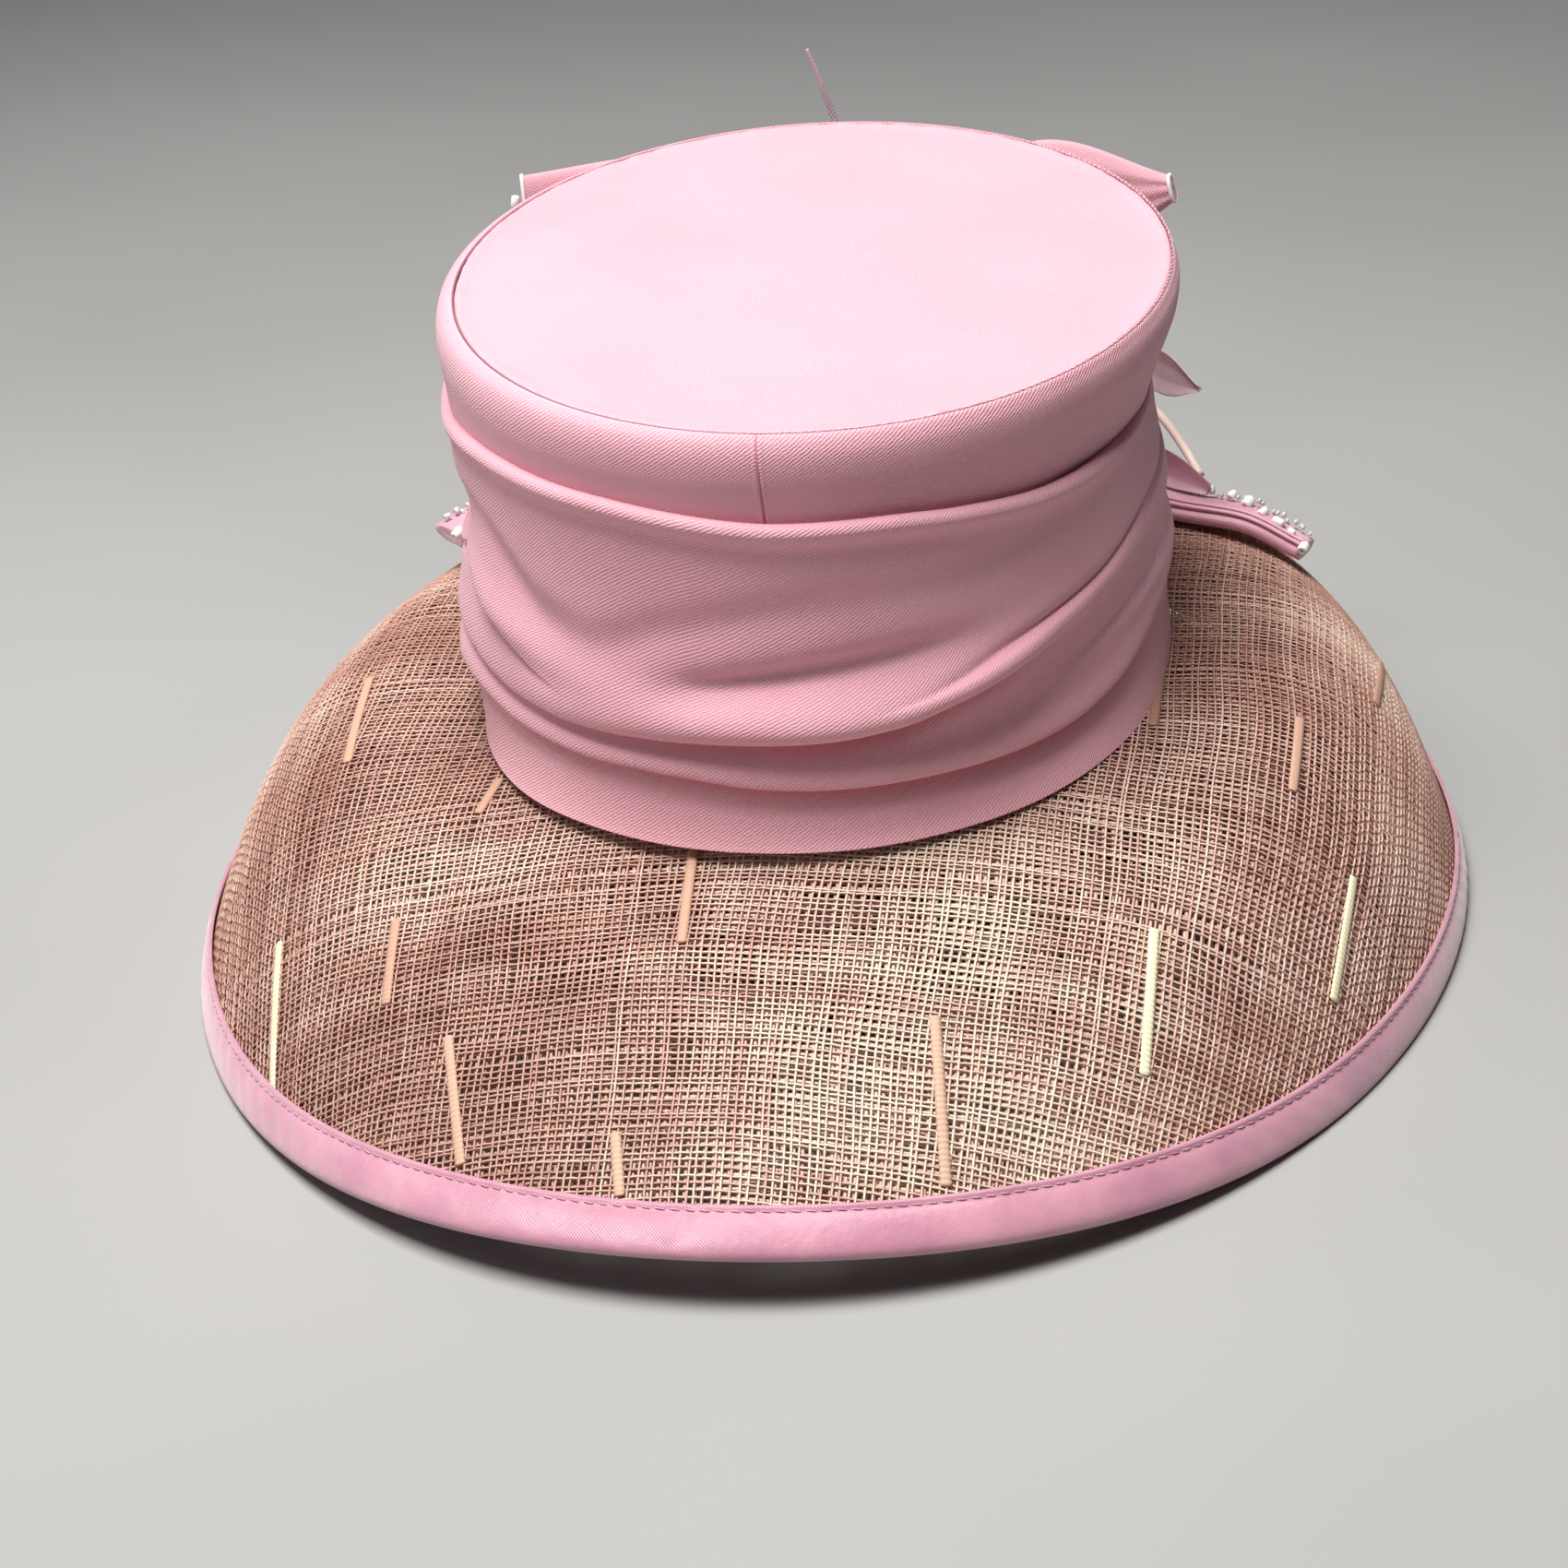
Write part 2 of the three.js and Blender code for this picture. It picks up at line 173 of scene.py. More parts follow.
# The straw cloth: two layers of threads. Warp and weft are the distances between threads, and step is how
# many crossings lie from one bend of a thread to the next
THREAD_HALF_HEIGHT = 0.17
WEAVE_RISE = 0.13
STRAW_HALF_SIZE = 230
LAYERS = {
    "upper": {
        "warp": 2.0, "weft": 1.75, "half_width": 0.42, "turn": 0.0, "offset": 0.4, "shift": 0.3, "step": 1,
    },
    "lower": {
        "warp": 2.1, "weft": 1.85, "half_width": 0.7, "turn": 2.2, "offset": -0.3, "shift": 0.9, "step": 2,
    },
}
# Parts of the run from the opening to the rim: where threads start and end, and how far they are tucked in
STRAW_START = -0.04
STRAW_END = 0.985
STRAW_TUCK = 0.012
# Thick wrapped bars laid along the warp, from one place on the flat cloth to another. Tone goes from brown
# over tan to pale yellow. Columns: warp_start, start, warp_end, end, tone
BAR_ROWS = [
    (-122, -10, -117.1, -51, 0.45),
    (-72.3, -65, -75.2, -79, 0.35),
    (-16.1, -100, -14.8, -130, 0.4),
    (-128.4, -106, -127.8, -149, 0.9),
    (-90.5, -113, -89.6, -138, 0.4),
    (-70.7, -151, -62.5, -186, 0.52),
    (-23.5, -182, -20.2, -198, 0.55),
    (48.1, -147, 56, -189, 0.55),
    (96.2, -112, 99.1, -150, 1),
    (146.5, -72, 147.2, -108, 1),
    (90.8, 7, 89.8, -41, 0.15),
    (156.2, 44, 149.3, 0, 0.3),
    (125.8, -30, 125.4, -58, 0.45),
    (-40, 150, -40, 190, 0.5),
    (30, 130, 30, 168, 0.9),
    (112, 120, 112, 155, 0.45),
    (-105, 110, -105, 148, 1),
    (-150, 30, -150, 66, 0.4),
]
BAR_HALF_WIDTH = 1.45
BAR_HALF_HEIGHT = 0.5
BAR_RIB = 1.4
BAR_STEP = 0.28
BAR_LIFT = 0.75

BINDING_WIDTH = 10.5
BINDING_STITCH = 2.4
BINDING_STITCH_GAP = 1.0
BINDING_JOIN_ANGLE = 268.5
BINDING_STEPS = 640


# Small tools for numbers

def mix(low, high, part):
    return low + (high - low) * part


def smooth_line(places, values, at):
    """Values read between places without corners, never past the values beside them."""
    places, values, at = (np.asarray(each, float) for each in (places, values, at))
    secant = np.diff(values) / np.diff(places)
    before, after = secant[:-1], secant[1:]
    same_way = before * after > 0
    inner = np.where(same_way, 2 * before * after / np.where(same_way, before + after, 1), 0)
    slope = np.concatenate([secant[:1], inner, secant[-1:]])
    start = np.clip(np.searchsorted(places, at, side="right") - 1, 0, len(places) - 2)
    gap = places[start + 1] - places[start]
    part = np.clip((at - places[start]) / gap, 0, 1)
    return (
        values[start] * (1 + 2 * part) * (1 - part) ** 2
        + values[start + 1] * (3 - 2 * part) * part ** 2
        + gap * slope[start] * part * (1 - part) ** 2
        - gap * slope[start + 1] * (1 - part) * part ** 2
    )


def read_line(rows, angle):
    """All columns of a table but its first, the angle in degrees, read at any angle round the crown."""
    degrees, *columns = np.array(rows, float).T
    places = np.concatenate([degrees + turn for turn in (-360, 0, 360)])
    order = np.argsort(places)
    at = np.degrees(angle) % 360
    return [smooth_line(places[order], np.tile(values, 3)[order], at) for values in columns]


def rounded(points, rounds, closed=False):
    """A chain of points along the first axis with its corners cut off, again and again."""
    for _ in range(rounds):
        before = points if closed else points[:-1]
        after = np.roll(points, -1, axis=0) if closed else points[1:]
        cut = np.stack([mix(before, after, 0.25), mix(before, after, 0.75)], axis=1)
        cut = cut.reshape(-1, *points.shape[1:])
        points = cut if closed else np.concatenate([points[:1], cut, points[-1:]])
    return points


def unit(vectors):
    return vectors / np.linalg.norm(vectors, axis=-1, keepdims=True)


def ring_angles(count):
    return FULL_TURN * np.arange(count) / count


def distances(points, axis=0):
    """How far along a chain of points each of them lies."""
    steps = np.diff(points, axis=axis, prepend=np.take(points, [0], axis=axis))
    return np.cumsum(np.linalg.norm(steps, axis=-1), axis=axis)


# Points on the hat's surfaces. Angle 0 is the wearer's right and 90 degrees the front

def crown_point(angle, level, out):
    """A point out millimetres outside the crown's oval of that level."""
    angle, level, out = np.broadcast_arrays(angle, level, out)
    size = {key: mix(OPENING[key], TIP[key], level) for key in OPENING}
    x = (size["half_width"] + out) * np.cos(angle)
    y = (size["half_length"] + out) * np.sin(angle)
    tilt, roll = np.radians(size["tilt"]), np.radians(size["roll"])
    z = -x * np.sin(roll)
    return np.stack([
        x * np.cos(roll) + TIP_LEAN * level ** 3,
        y * np.cos(tilt) - z * np.sin(tilt) + size["shift"],
        y * np.sin(tilt) + z * np.cos(tilt) + size["height"],
    ], axis=-1)


def rim_point(angle):
    from_middle = 90 - np.degrees(np.arcsin(np.abs(np.sin(angle))))
    lift = RIM_LIFT * (0.5 + 0.5 * np.cos(np.pi * np.minimum(from_middle / RIM_LIFT_ARC, 1)))
    return np.stack([
        RIM["half_width"] * np.cos(angle),
        RIM["half_length"] * np.sin(angle) + RIM["widest_forward"] * np.cos(angle) ** 2,
        RIM["edge_height"] + lift,
    ], axis=-1)


def brim_middle(angle, reach):
    """The middle of the straw: reach is 0 at the crown and 1 at the rim."""
    angle, reach = np.broadcast_arrays(angle, reach)
    inner = crown_point(angle, 0.0, 0.0)
    outer = rim_point(angle)
    point = mix(inner, outer, reach[..., None])
    backness = np.maximum(-np.sin(angle), 0) ** 2
    steep = np.maximum(reach, 0) ** BRIM_DROP_POWER
    even = mix(reach ** 2, reach, BACK_DROP_EVENNESS)
    point[..., 2] = mix(inner[..., 2], outer[..., 2], mix(steep, even, backness))
    return point


def brim_slant(angle, reach):
    return (brim_middle(angle, reach + SMALL) - brim_middle(angle, reach - SMALL)) / (2 * SMALL)


def brim_normal(angle, reach):
    around = brim_middle(angle + SMALL, reach) - brim_middle(angle - SMALL, reach)
    return unit(np.cross(brim_slant(angle, reach), around))


def brim_point(angle, reach, offset):
    offset = np.asarray(offset)[..., None]
    return brim_middle(angle, reach) + brim_normal(angle, reach) * offset


# Meshes

def add_piece(name, points, faces, corner_uv, material, slot, weld=False):
    """A mesh that rides with the hat, with its points in millimetres."""
    mesh = bpy.data.meshes.new(name)
    mesh.from_pydata((np.asarray(points) * METRES).tolist(), [], faces.tolist())
    mesh.uv_layers.new(name="UVMap").data.foreach_set("uv", np.asarray(corner_uv, np.float32).ravel())
    if weld:
        work = bmesh.new()
        work.from_mesh(mesh)
        bmesh.ops.remove_doubles(work, verts=work.verts, dist=1e-6)
        work.to_mesh(mesh)
        work.free()
    mesh.shade_smooth()
    mesh.materials.append(material)
    mesh.update()
    piece = bpy.data.objects.new(name, mesh)
    bpy.context.scene.collection.objects.link(piece)
    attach(piece, "root")
    return piece


def grid(points, u, v, wrap_rows=False):
    """Points, faces and face corners' UVs of a grid whose rows are closed rings. u runs round the rings and v
    from ring to ring, and each has one more value than the grid where it closes on itself."""
    rows, columns = points.shape[:2]
    row, column = np.meshgrid(np.arange(rows if wrap_rows else rows - 1), np.arange(columns), indexing="ij")
    corner_rows = np.stack([row, row, row + 1, row + 1], axis=-1).reshape(-1, 4)
    corner_columns = np.stack([column, column + 1, column + 1, column], axis=-1).reshape(-1, 4)
    faces = (corner_rows % rows) * columns + corner_columns % columns
    corner_uv = np.stack([u[corner_columns], v[corner_rows]], axis=-1)
    return points.reshape(-1, 3), faces, corner_uv


def join(parts):
    """Several lists of points, faces and UVs as one."""
    points, faces, uvs = zip(*parts)
    starts = np.cumsum([0, *map(len, points[:-1])])
    faces = [part + start for part, start in zip(faces, starts)]
    return tuple(np.concatenate(each) for each in (points, faces, uvs))


def tubes(lines, normals, half_width, half_height, sides, tone):
    """Many closed tubes at once. Lines and normals are arrays of tube, point and axis; one normal will do."""
    count, length = lines.shape[:2]
    tangent = unit(np.gradient(lines, axis=1))
    across = unit(np.cross(tangent, normals))
    upward = np.cross(across, tangent)
    turn = ring_angles(sides) + np.pi / sides
    width, height = (
        np.broadcast_to(size, (count, length))[..., None, None] for size in (half_width, half_height)
    )
    ring = (
        lines[:, :, None]
        + across[:, :, None] * width * np.cos(turn)[:, None]
        + upward[:, :, None] * height * np.sin(turn)[:, None]
    )
    ends = lines[:, [0, -1]][:, :, None].repeat(sides, axis=2)
    rings = np.concatenate([ends[:, :1], ring, ends[:, 1:]], axis=1)
    u = np.broadcast_to(np.reshape(tone, (-1, 1)), (count, sides + 1))
    run = np.pad(distances(lines, axis=1), ((0, 0), (1, 1)), "edge")
    return join(map(grid, rings, u, run))


# Materials

# Painted light: the middle of a spot on the back of the brim, in metres, round which the straw is painted
# paler
STRAW_PAINTED_LIGHT_SPOT = (0.03, -0.115, 0.045)


def new_material(name, roughness, sheen=0.0):
    """A material, its node tree, its shader and its texture coordinates."""
    material = bpy.data.materials.new(name)
    material.use_nodes = True
    tree = material.node_tree
    shader = tree.nodes["Principled BSDF"]
    shader.inputs["Roughness"].default_value = roughness
    shader.inputs["Sheen Weight"].default_value = sheen
    return material, tree, shader, node(tree, "TexCoord").outputs


def node(tree, kind, settings=(), **inputs):
    """A shader node; each input is a value, or a socket to link."""
    made = tree.nodes.new("ShaderNode" + kind)
    for name, value in dict(settings).items():
        setattr(made, name, value)
    for name, value in inputs.items():
        socket = made.inputs[name.replace("_", " ")]
        if isinstance(value, bpy.types.NodeSocket):
            tree.links.new(value, socket)
        else:
            socket.default_value = value
    return made


def ramp(tree, factor, stops):
    """Colours along a factor: stops are (place, red, green, blue)."""
    made = node(tree, "ValToRGB", Fac=factor)
    elements = made.color_ramp.elements
    while len(elements) < len(stops):
        elements.new(1.0)
    for element, (place, *colour) in zip(elements, stops):
        element.position = place
        element.color = (*colour, 1)
    return made.outputs["Color"]


def noise(tree, vector, scale, detail=2.0):
    return node(tree, "TexNoise", Vector=vector, Scale=scale, Detail=detail).outputs["Fac"]


def coloured(tree, shader, factor, stops):
    tree.links.new(ramp(tree, factor, stops), shader.inputs["Base Color"])


def bump(tree, shader, height, strength, distance):
    made = node(tree, "Bump", Height=height, Strength=strength, Distance=distance)
    tree.links.new(made.outputs["Normal"], shader.inputs["Normal"])


def added(tree, value, share, other):
    """A share of one value, added to another."""
    made = node(tree, "Math", {"operation": "MULTIPLY_ADD"})
    tree.links.new(value, made.inputs[0])
    made.inputs[1].default_value = share
    tree.links.new(other, made.inputs[2])
    return made.outputs["Value"]


def multiplied(tree, first, second):
    """One colour times another. The colours of a mix node are its inputs 6 and 7, and its output 2."""
    made = node(tree, "Mix", {"data_type": "RGBA", "blend_type": "MULTIPLY"})
    made.inputs[0].default_value = 1.0
    tree.links.new(first, made.inputs[6])
    tree.links.new(second, made.inputs[7])
    return made.outputs[2]


def slanted_lines(tree, place, degrees, pitch, **look):
    """The turned UVs, and a wave across them with so many millimetres from line to line."""
    mapping = node(tree, "Mapping", Vector=place["UV"], Rotation=(0, 0, math.radians(degrees)))
    turned = mapping.outputs["Vector"]
    scale = math.pi / 10 / pitch
    wave = node(tree, "TexWave", {"bands_direction": "X"}, Vector=turned, Scale=scale, **look)
    return turned, wave.outputs["Fac"]


def own_number(tree, place):
    """The number that a thread carries as its u."""
    return node(tree, "SeparateXYZ", Vector=place["UV"]).outputs["X"]


def crepe(name, pale, deep):
    """Matte crepe with a fine diagonal twill; the UVs are in millimetres."""
    material, tree, shader, place = new_material(name, 0.72, sheen=0.25)
    shader.inputs["Sheen Roughness"].default_value = 0.45
    _, twill = slanted_lines(tree, place, 55, 0.75, Distortion=2.2, Detail=2.0, Detail_Scale=1.6)
    grain = noise(tree, place["UV"], 2.2, 3.0)
    cloudy = noise(tree, place["Object"], 22.0)
    colour = ramp(tree, cloudy, [(0.35, *deep), (0.65, *pale)])
    ribs = ramp(tree, twill, [(0.0, 0.86, 0.84, 0.85), (0.7, 1, 1, 1)])
    specks = ramp(tree, grain, [(0.3, 0.86, 0.85, 0.86), (0.6, 1, 1, 1)])
    colour = multiplied(tree, multiplied(tree, colour, ribs), specks)
    tree.links.new(colour, shader.inputs["Base Color"])
    bump(tree, shader, added(tree, grain, 1.6, twill), 0.6, 0.0002)
    return material


def straw(name, stops):
    """Straw threads: u is a number of each thread's own, and v runs along it in millimetres. The threads
    carry
    painted light: paler round a spot at the middle of the back, and darker away from it."""
    material, tree, shader, place = new_material(name, 0.5)
    from_light_spot = node(tree, "VectorMath", {"operation": "DISTANCE"})
    tree.links.new(place["Object"], from_light_spot.inputs[0])
    from_light_spot.inputs[1].default_value = STRAW_PAINTED_LIGHT_SPOT
    # Painted light: threads lighter near that spot and darker away from it, for the light that falls on the
    # back of the brim
    painted_light = node(
        tree, "MapRange", Value=from_light_spot.outputs["Value"],
        From_Min=0.03, From_Max=0.12, To_Min=0.05, To_Max=-0.1,
    ).outputs["Result"]
    tone = added(tree, noise(tree, place["UV"], 0.1, 3.0), 0.35, painted_light)
    tone = added(tree, own_number(tree, place), 0.18, tone)
    tone = added(tree, noise(tree, place["Object"], 16.0, 2.0), 0.7, tone)
    coloured(tree, shader, tone, stops)
    bump(tree, shader, noise(tree, place["UV"], 2.4, 2.0), 0.3, 0.0002)
    return material


def satin(name, pale, deep):
    """Satin cut on the bias, with its fine diagonal grain and small crinkles."""
    material, tree, shader, place = new_material(name, 0.36, sheen=0.6)
    turned, grain = slanted_lines(tree, place, 45, 0.55, Distortion=2.0, Detail=2.0)
    cloudy = noise(tree, place["UV"], 0.06, 3.0)
    coloured(tree, shader, cloudy, [(0.35, *deep), (0.65, *pale)])
    crinkle = noise(tree, turned, 0.3, 4.0)
    bump(tree, shader, added(tree, crinkle, 3.0, grain), 0.3, 0.0003)
    return material


def toned(name, stops, roughness, sheen=0.0):
    """A thread, cord or bead whose colour follows u, a little rough."""
    material, tree, shader, place = new_material(name, roughness, sheen)
    speckle = noise(tree, place["UV"], 1.1, 3.0)
    coloured(tree, shader, added(tree, speckle, 0.12, own_number(tree, place)), stops)
    bump(tree, shader, speckle, 0.3, 0.0002)
    return material


def glassy(name):
    """Clear glass with a faint clouding."""
    material, tree, shader, place = new_material(name, 0.12)
    shader.inputs["Transmission Weight"].default_value = 0.35
    shader.inputs["IOR"].default_value = 1.5
    clouding = noise(tree, place["Object"], 900.0)
    coloured(tree, shader, clouding, [(0.3, 0.85, 0.84, 0.86), (0.7, 0.97, 0.96, 0.97)])
    return material


def vaned(name, deep, pale):
    """A feather: fine barbs slant off the vein, darker between them."""
    material, tree, shader, place = new_material(name, 0.55, sheen=0.3)
    _, barbs = slanted_lines(tree, place, 35, 0.6, Distortion=1.5)
    coloured(tree, shader, barbs, [(0.0, *deep), (0.7, *pale)])
    bump(tree, shader, barbs, 0.3, 0.0002)
    return material


CREPE = crepe("pink_crepe", (0.95, 0.485, 0.57), (0.91, 0.455, 0.54))
SATIN_CREPE = satin("pink_satin_crepe", (0.8, 0.42, 0.53), (0.74, 0.36, 0.47))
MAUVE_SATIN = satin("mauve_satin", (0.92, 0.64, 0.74), (0.88, 0.58, 0.68))
STRAW_UPPER = straw("straw_upper", [
    (0.4, 0.44, 0.22, 0.17), (0.52, 0.58, 0.34, 0.27), (0.64, 0.73, 0.49, 0.41), (0.8, 0.92, 0.77, 0.61),
])
STRAW_LOWER = straw("straw_lower", [
    (0.4, 0.44, 0.23, 0.18), (0.54, 0.58, 0.35, 0.28), (0.68, 0.7, 0.48, 0.4), (0.82, 0.78, 0.62, 0.5),
])
SATIN = satin("pink_satin", (0.66, 0.31, 0.41), (0.56, 0.24, 0.34))
BAR_STRAW = toned("bar_straw", [
    (0.15, 0.32, 0.17, 0.12), (0.5, 0.58, 0.35, 0.25), (0.75, 0.66, 0.47, 0.33), (1.0, 0.82, 0.77, 0.54),
], 0.6)
# Tone 0 is a near-black pink, used only for the tip seam's thread as painted shadow of the seam's groove
SEWING_THREAD = toned("sewing_thread", [
    (0.0, 0.2, 0.08, 0.1), (0.4, 0.6, 0.28, 0.36), (1.0, 0.95, 0.7, 0.76),
], 0.6)
PIPING = toned("piping", [
    (0.0, 0.5, 0.22, 0.31), (0.5, 0.8, 0.46, 0.56), (1.0, 0.95, 0.88, 0.88),
], 0.4, sheen=0.2)
FEATHER = vaned("feather", (0.62, 0.44, 0.48), (0.8, 0.64, 0.68))
QUILL = vaned("quill_grey", (0.34, 0.2, 0.26), (0.56, 0.48, 0.52))
ROULEAU = toned("rouleau_cream", [(0.3, 0.82, 0.62, 0.55), (0.6, 0.92, 0.74, 0.68)], 0.4, sheen=0.2)
WHITE_BEAD = toned("white_bead", [(0.4, 0.86, 0.84, 0.82), (0.6, 0.96, 0.95, 0.93)], 0.15)
GLASS = glassy("clear_glass")


# The crown

def seam_inset(angle):
    """How far inside the crown's oval the tip seam lies."""
    return SEAM_INSET - SEAM_INSET_LEAN * np.cos(angle)


def back_seam(angle, level):
    """How far the centre-back seam draws the cloth in, between two low ridges."""
    slanted = np.radians(BACK_SEAM_ANGLE + BACK_SEAM_SLANT * (0.9 - level))
    away = np.degrees(np.angle(np.exp(1j * (angle - slanted))))
    ridges = 0.15 * np.exp(-(np.abs(away) - 0.5) ** 2 / 0.1)
    return 0.9 * np.exp(-(away / 0.13) ** 2) - ridges


def section_rows(rows, angle):
    """Rows of level and distance out, with a value of each for every angle."""
    return np.array([np.broadcast_arrays(level, out, angle)[:2] for level, out in rows])


def crown_side():
    seam = np.radians(BACK_SEAM_ANGLE + np.linspace(-2.5, 2.5, 60))
    angle = np.sort(np.concatenate([ring_angles(260), seam]))
    top, _, groove = read_line(TOP_EDGE, angle)
    inset = seam_inset(angle)
    under_swathe = [(HEM_LEVEL, WALL_OUT), (0.5 * top, WALL_OUT), (top - 0.05, WALL_OUT)]
    shoulder = [
        (top - 0.01, groove - 0.4), (top + 0.02, groove), (mix(top + 0.02, 0.9, 0.5), mix(groove, 0.7, 0.45)),
        (0.9, 0.7), (0.925, 1.0), (0.948, 1.0), (0.97, 0.65), (0.988, -0.15),
    ]
    to_seam = [
        (0.998, -0.38 * inset), (1.003, -0.62 * inset), (1.005, -0.8 * inset),
        (1.005, 0.4 - inset), (1.001, 0.22 - inset), (0.985, 0.2 - inset),
    ]
    inner = [(0.985, -inset - 1.0), (0.95, -3.0), (0.9, -6.0), (0.5, INSIDE_OUT), (HEM_LEVEL, INSIDE_OUT)]
    outside = rounded(section_rows(under_swathe + shoulder + to_seam, angle), 2)
    outside[:, 1] -= back_seam(angle, outside[:, 0])
    section = np.concatenate([outside, rounded(section_rows(inner, angle), 1)])
    level, out = section[:, 0], section[:, 1]
    points = crown_point(angle, level, out)
    u = np.append(angle, FULL_TURN) * CROWN_RADIUS
    v = np.append(level[:, 0], level[0, 0]) * CROWN_HEIGHT
    piece = add_piece("crown_side_cloth", *grid(points, u, v, wrap_rows=True), CREPE, "crepe")
    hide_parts("crown_side")


def crown_tip():
    angle = ring_angles(CROWN_STEPS)
    edge = crown_point(angle, 1.0, -seam_inset(angle) - 0.1)
    centre = np.array([TIP_LEAN, TIP["shift"], TIP["height"]])
    lift = unit(np.cross(edge[0] - centre, edge[CROWN_STEPS // 4] - centre))
    part = np.concatenate([np.linspace(0, 0.94, 20), [0.96, 0.97, 0.98, 0.988, 0.993, 0.996, 0.998, 1.0]])
    pucker = np.interp(angle, ring_angles(190), chance.normal(0, 0.13, 190), period=FULL_TURN)
    near_seam = np.clip((part - 0.94) / 0.04, 0, 1)[:, None]
    turned_in = np.clip((part - 0.993) / 0.007, 0, 1)[:, None]
    rise = TIP_DOME * (1 - part ** 2)[:, None] + (0.5 + pucker) * near_seam ** 2 - 1.2 * turned_in ** 2
    flat = centre + (edge - centre) * part[:, None, None]
    underside = flat[::-9] - TIP_THICKNESS * lift
    points = np.concatenate([flat + lift * rise[..., None], underside])
    corners, faces, _ = grid(points, np.zeros(CROWN_STEPS + 1), np.zeros(len(points)))
    piece = add_piece("crown_tip_cloth", corners, faces, corners[faces][..., :2], CREPE, "crepe", weld=True)
    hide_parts("crown_tip")


def seam_shadow_and_stitches():
    """A near-black thread in the tip seam, painted shadow of the seam's groove, and small pale stitches that
    show along its right half.
    """
    around = np.linspace(0, FULL_TURN, 400)
    # Painted shadow: a dark thread along the seam's groove, sunk lower and out of sight over the front
    sunk = 0.004 * np.clip(3 * np.sin(around) + 0.6, 0, 1)
    painted_seam_shadow = crown_point(around, 1.0035 - sunk, -seam_inset(around) + 0.05)[None]
    parts = [tubes(painted_seam_shadow, UP, 0.24, 0.24, 6, 0.0)]
    count = 130
    middle = np.radians(np.linspace(-95, 75, count)) + chance.normal(0, 0.003, count)
    step = np.linspace(-1, 1, 5)
    angle = middle[:, None] + 0.0045 * step
    level = 1.0075 - 0.003 * step ** 2 + 0 * angle
    out = -seam_inset(angle) + 0.1 + 0.3 * step
    lines = crown_point(angle, level, out)
    size = 0.12 * np.clip(1.6 * np.cos(middle + 0.2), 0.3, 1)[:, None]
    tone = chance.uniform(0.6, 1.0, count)
    parts.append(tubes(lines, UP, size, size, 6, tone))
    add_piece("tip_seam_shadow_and_stitches", *join(parts), SEWING_THREAD, "crepe")


# The swathe

def fold(angle, level, line, hangs, full, hollow, lead, softness):
    """How far one fold moves the cloth: it is fullest a little way from its line, and rounds back to it."""
    middle, out, under = read_line(line, angle)
    away = level - middle if hangs else middle - level
    over = 1 / (1 + np.exp(np.clip(-away / softness, -40, 40)))
    round_back = np.sqrt(1 - 0.85 * np.clip(1 - away / lead, 0, 1) ** 2)
    bulge = out * round_back * np.exp(-(np.maximum(away - lead, 0) / full) ** 2)
    return over * bulge - (1 - over) * under * np.exp(-(np.minimum(away, 0) / hollow) ** 2)


def side_share(angle, middle, spread):
    away = (np.degrees(angle) - middle + 180) % 360 - 180
    return np.exp(-(away / spread) ** 2)


def stand(rows, level):
    return smooth_line(*np.array(rows).T, level)


def swathe_out(angle, level, top, roll):
    """How far the swathe stands out from the crown's oval."""
    out = stand(BACK_STAND, level)
    for rows, middle, spread in SIDE_STANDS:
        out = mix(out, stand(rows, level), side_share(angle, middle, spread))
    for shape in FOLDS:
        out = out + fold(angle, level, *shape)
    for dent in SOFT_DENTS:
        line, depth = read_line(dent["line"], angle)
        out = out + depth * np.exp(-((level - line) / dent["width"]) ** 2)
    ripple = np.sin(9 * angle + 14 * level) * np.sin(4 * angle - 9 * level + 1)
    return out + 0.2 * ripple + roll * np.exp(-(np.maximum(top - level, 0) / 0.032) ** 2)


def eased_rows(low, high, count):
    """Levels from one line to the next, closer together near both."""
    part = 0.5 - 0.5 * np.cos(np.pi * np.linspace(0, 1, count, endpoint=False))
    return mix(low, high, part[:, None])


def swathe():
    angle = ring_angles(CROWN_STEPS)
    top, roll, _ = read_line(TOP_EDGE, angle)
    hem = HEM_LEVEL + HEM_RISE * np.maximum(np.cos(angle - np.radians(HEM_RISE_ANGLE)), 0) ** 2
    lines = [hem, *(read_line(rows, angle)[0] for rows in (LOW_FOLD, HIGH_FOLD, ROW_LINE)), top]
    rows = [eased_rows(*between) for between in zip(lines, lines[1:], SWATHE_ROWS)]
    level = np.concatenate([*rows, top[None]])
    out = swathe_out(angle, level, top, roll)
    bend = np.radians(np.linspace(20, 150, 7))[:, None]
    top_level = top + TOP_ROLL_RADIUS / CROWN_HEIGHT * np.sin(bend)
    top_out = out[-1] - TOP_ROLL_RADIUS * (1 - np.cos(bend))
    hem_level = hem - HEM_ROLL_LEVELS * np.sin(bend)
    hem_out = out[0] - HEM_ROLL_RADIUS * (1 - np.cos(bend))
    inside = np.full((1, len(angle)), TUCKED_OUT)
    level = np.concatenate([hem[None], hem_level[::-1], level, top_level, top[None] - 0.01])
    out = np.concatenate([inside, hem_out[::-1], out, top_out, inside])
    points = crown_point(angle, level, out)
    u = np.append(angle, FULL_TURN) * CROWN_RADIUS
    corners, faces, corner_uv = grid(points, u, np.zeros(len(points)))
    corner_uv[..., 1] = distances(points).reshape(-1)[faces]
    piece = add_piece("swathe", corners, faces, corner_uv, CREPE, "crepe")
    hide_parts("drape")


# The straw brim

BRIM_ANGLES = np.linspace(0, FULL_TURN, 721)
BRIM_PARTS = np.linspace(0, 1, 161)


